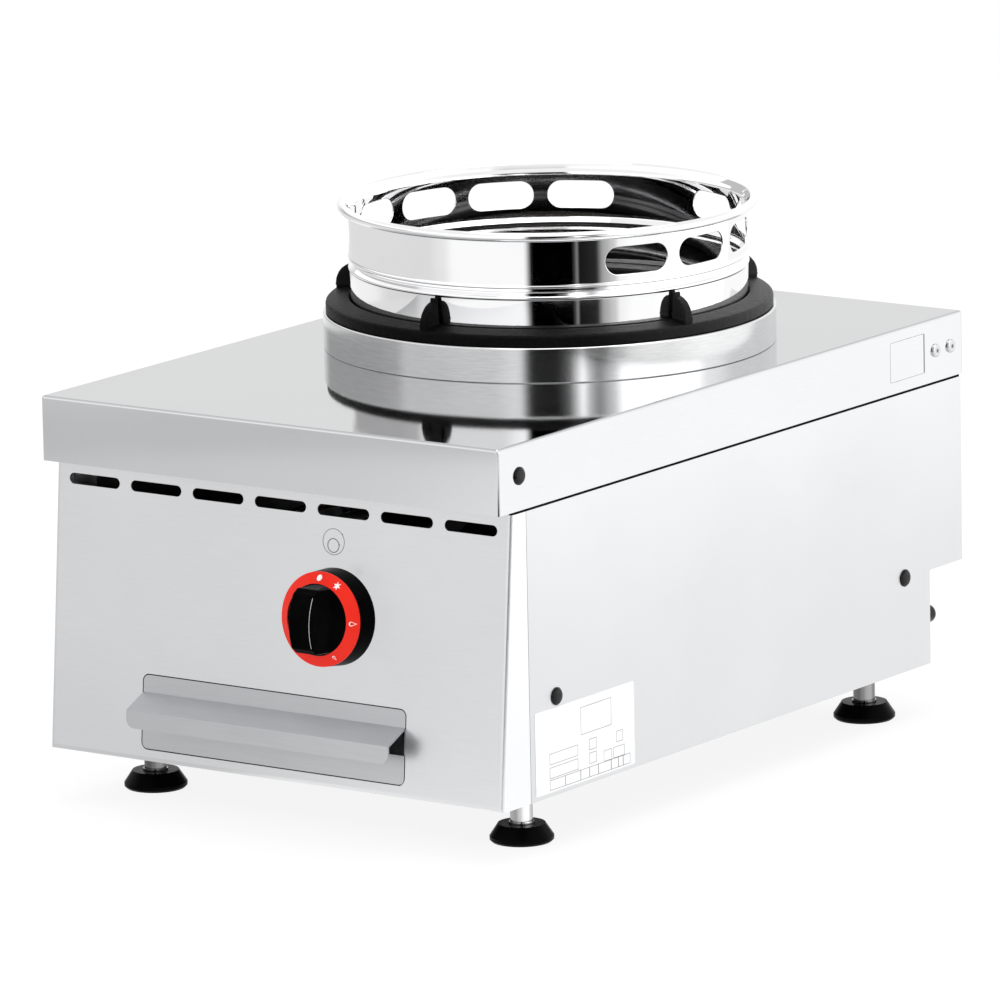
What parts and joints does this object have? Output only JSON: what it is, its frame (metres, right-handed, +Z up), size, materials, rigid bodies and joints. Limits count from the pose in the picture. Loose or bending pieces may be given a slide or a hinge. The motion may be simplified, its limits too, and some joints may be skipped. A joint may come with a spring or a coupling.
{
  "type": "wok range",
  "caption": "Countertop gas wok range: stainless housing with one round burner, cast-iron trivet, slotted wok ring, front knob, pull-out drip tray and adjustable feet",
  "frame": {"origin": "middle of the object's bounding box, on the plane the feet stand on", "axes": "+Z up, the knob side faces -Y, +X to the right seen from the front"},
  "size_m": [0.4044, 0.6374, 0.4054],
  "materials": {
    "worktop_steel": "satin stainless, clear soft reflections",
    "panel_steel": "fine satin stainless",
    "tray_steel": "smooth stainless sheet",
    "skirt_steel": "turned, lines run round the ring",
    "mirror_steel": "mirror polish",
    "foot_chrome": "plated tube",
    "inner_steel": "plain zinc-coated sheet",
    "well_steel": "spun stainless sheet",
    "cast_iron": "matt black, grainy",
    "burner_iron": "sand-cast, rough",
    "burner_brass": "machined",
    "tap_brass": "forged and machined",
    "pipe_steel": "drawn tube",
    "pipe_aluminium": "drawn tube",
    "lead_copper": "copper capillary",
    "lead_sleeve": "silicone sleeve",
    "ceramic": "glazed ceramic",
    "knob_black": "moulded, semi-gloss",
    "knob_red": "moulded, printed with plain marks",
    "black_plastic": "moulded",
    "foot_black": "moulded pad on a threaded rod",
    "seal_black": "dark strip",
    "screw_steel": "bright zinc",
    "label_silver": "blank foil"
  },
  "bodies": {
    "base": {"worktop": "worktop_steel", "burner_skirt": "skirt_steel", "front_panel": "panel_steel", "side_panel_left": "panel_steel", "side_panel_right": "panel_steel", "seal_strip": "seal_black", "rear_panel": "panel_steel", "recess_panel": "panel_steel", "base_pan": "inner_steel", "tray_runner_left": "inner_steel", "tray_runner_right": "inner_steel", "foot_brackets": "inner_steel", "gas_tap_body": "tap_brass", "gas_tap_bonnet": "tap_brass", "tap_bracket": "inner_steel", "gas_inlet": "burner_brass", "supply_pipe": "pipe_steel", "injector": "burner_brass", "feed_pipe": "pipe_aluminium", "burner_body": "burner_iron", "burner_venturi": "burner_iron", "burner_support": "inner_steel", "burner_well": "well_steel", "spill_funnel": "well_steel", "pilot_bracket": "inner_steel", "pilot_burner": "burner_brass", "thermocouple": "lead_copper", "spark_electrode": "ceramic", "electrode_pin": "pipe_steel", "igniter": "black_plastic", "pilot_pipe": "pipe_aluminium", "thermocouple_lead": "lead_copper", "ignition_lead": "lead_sleeve", "side_plugs": "black_plastic", "lip_plugs": "black_plastic", "linking_covers": "worktop_steel", "linking_screws": "screw_steel", "data_label": "label_silver", "recess_bumpers": "black_plastic", "rear_screws": "screw_steel", "foot_stem_front_left": "foot_chrome", "foot_stem_front_right": "foot_chrome", "foot_stem_rear_left": "foot_chrome", "foot_stem_rear_right": "foot_chrome"},
    "tap_plug": {"tap_plug": "tap_brass"},
    "knob": {"knob_body": "knob_black", "knob_ring": "knob_red", "tap_spindle": "pipe_steel"},
    "drip_tray": {"drip_tray_pan": "tray_steel", "drip_tray_front": "tray_steel", "drip_tray_handle": "tray_steel"},
    "trivet": {"trivet_ring": "cast_iron"},
    "wok_stand": {"wok_ring": "mirror_steel"},
    "crown": {"burner_crown": "burner_brass"},
    "cap": {"burner_cap": "burner_brass"},
    "shutter": {"air_shutter": "pipe_steel"},
    "foot_front_left": {"foot_pad_front_left": "foot_black"},
    "foot_front_right": {"foot_pad_front_right": "foot_black"},
    "foot_rear_left": {"foot_pad_rear_left": "foot_black"},
    "foot_rear_right": {"foot_pad_rear_right": "foot_black"}
  },
  "joints": [
    {"name": "knob_turn", "type": "hinge", "parent": "base", "child": "tap_plug", "pos_m": [0.0529, -0.27236, 0.16272], "axis": [0, -0.9964, 0.0848], "range_deg": [0, 156]},
    {"name": "knob_push", "type": "slide", "parent": "tap_plug", "child": "knob", "axis": [0, 0.9964, -0.0848], "range_m": [0, 0.0026], "stiffness_N_per_m": 400, "springref_m": -0.002},
    {"name": "tray_slide", "type": "slide", "parent": "base", "child": "drip_tray", "axis": [0, -1, 0], "range_m": [0, 0.42]},
    {"name": "trivet_lift", "type": "slide", "parent": "base", "child": "trivet", "axis": [0, 0, 1], "range_m": [0, 0.06]},
    {"name": "wok_ring_lift", "type": "slide", "parent": "trivet", "child": "wok_stand", "axis": [0, 0, 1], "range_m": [0, 0.12]},
    {"name": "crown_lift", "type": "slide", "parent": "base", "child": "crown", "axis": [0, 0, 1], "range_m": [0, 0.1]},
    {"name": "cap_lift", "type": "slide", "parent": "crown", "child": "cap", "axis": [0, 0, 1], "range_m": [0, 0.04]},
    {"name": "air_shutter_slide", "type": "slide", "parent": "base", "child": "shutter", "axis": [0, 1, 0], "range_m": [0, 0.012]},
    {"name": "foot_front_left_adjust", "type": "slide", "parent": "base", "child": "foot_front_left", "axis": [0, 0, -1], "range_m": [0, 0.018]},
    {"name": "foot_front_right_adjust", "type": "slide", "parent": "base", "child": "foot_front_right", "axis": [0, 0, -1], "range_m": [0, 0.018]},
    {"name": "foot_rear_left_adjust", "type": "slide", "parent": "base", "child": "foot_rear_left", "axis": [0, 0, -1], "range_m": [0, 0.018]},
    {"name": "foot_rear_right_adjust", "type": "slide", "parent": "base", "child": "foot_rear_right", "axis": [0, 0, -1], "range_m": [0, 0.018]}
  ]
}
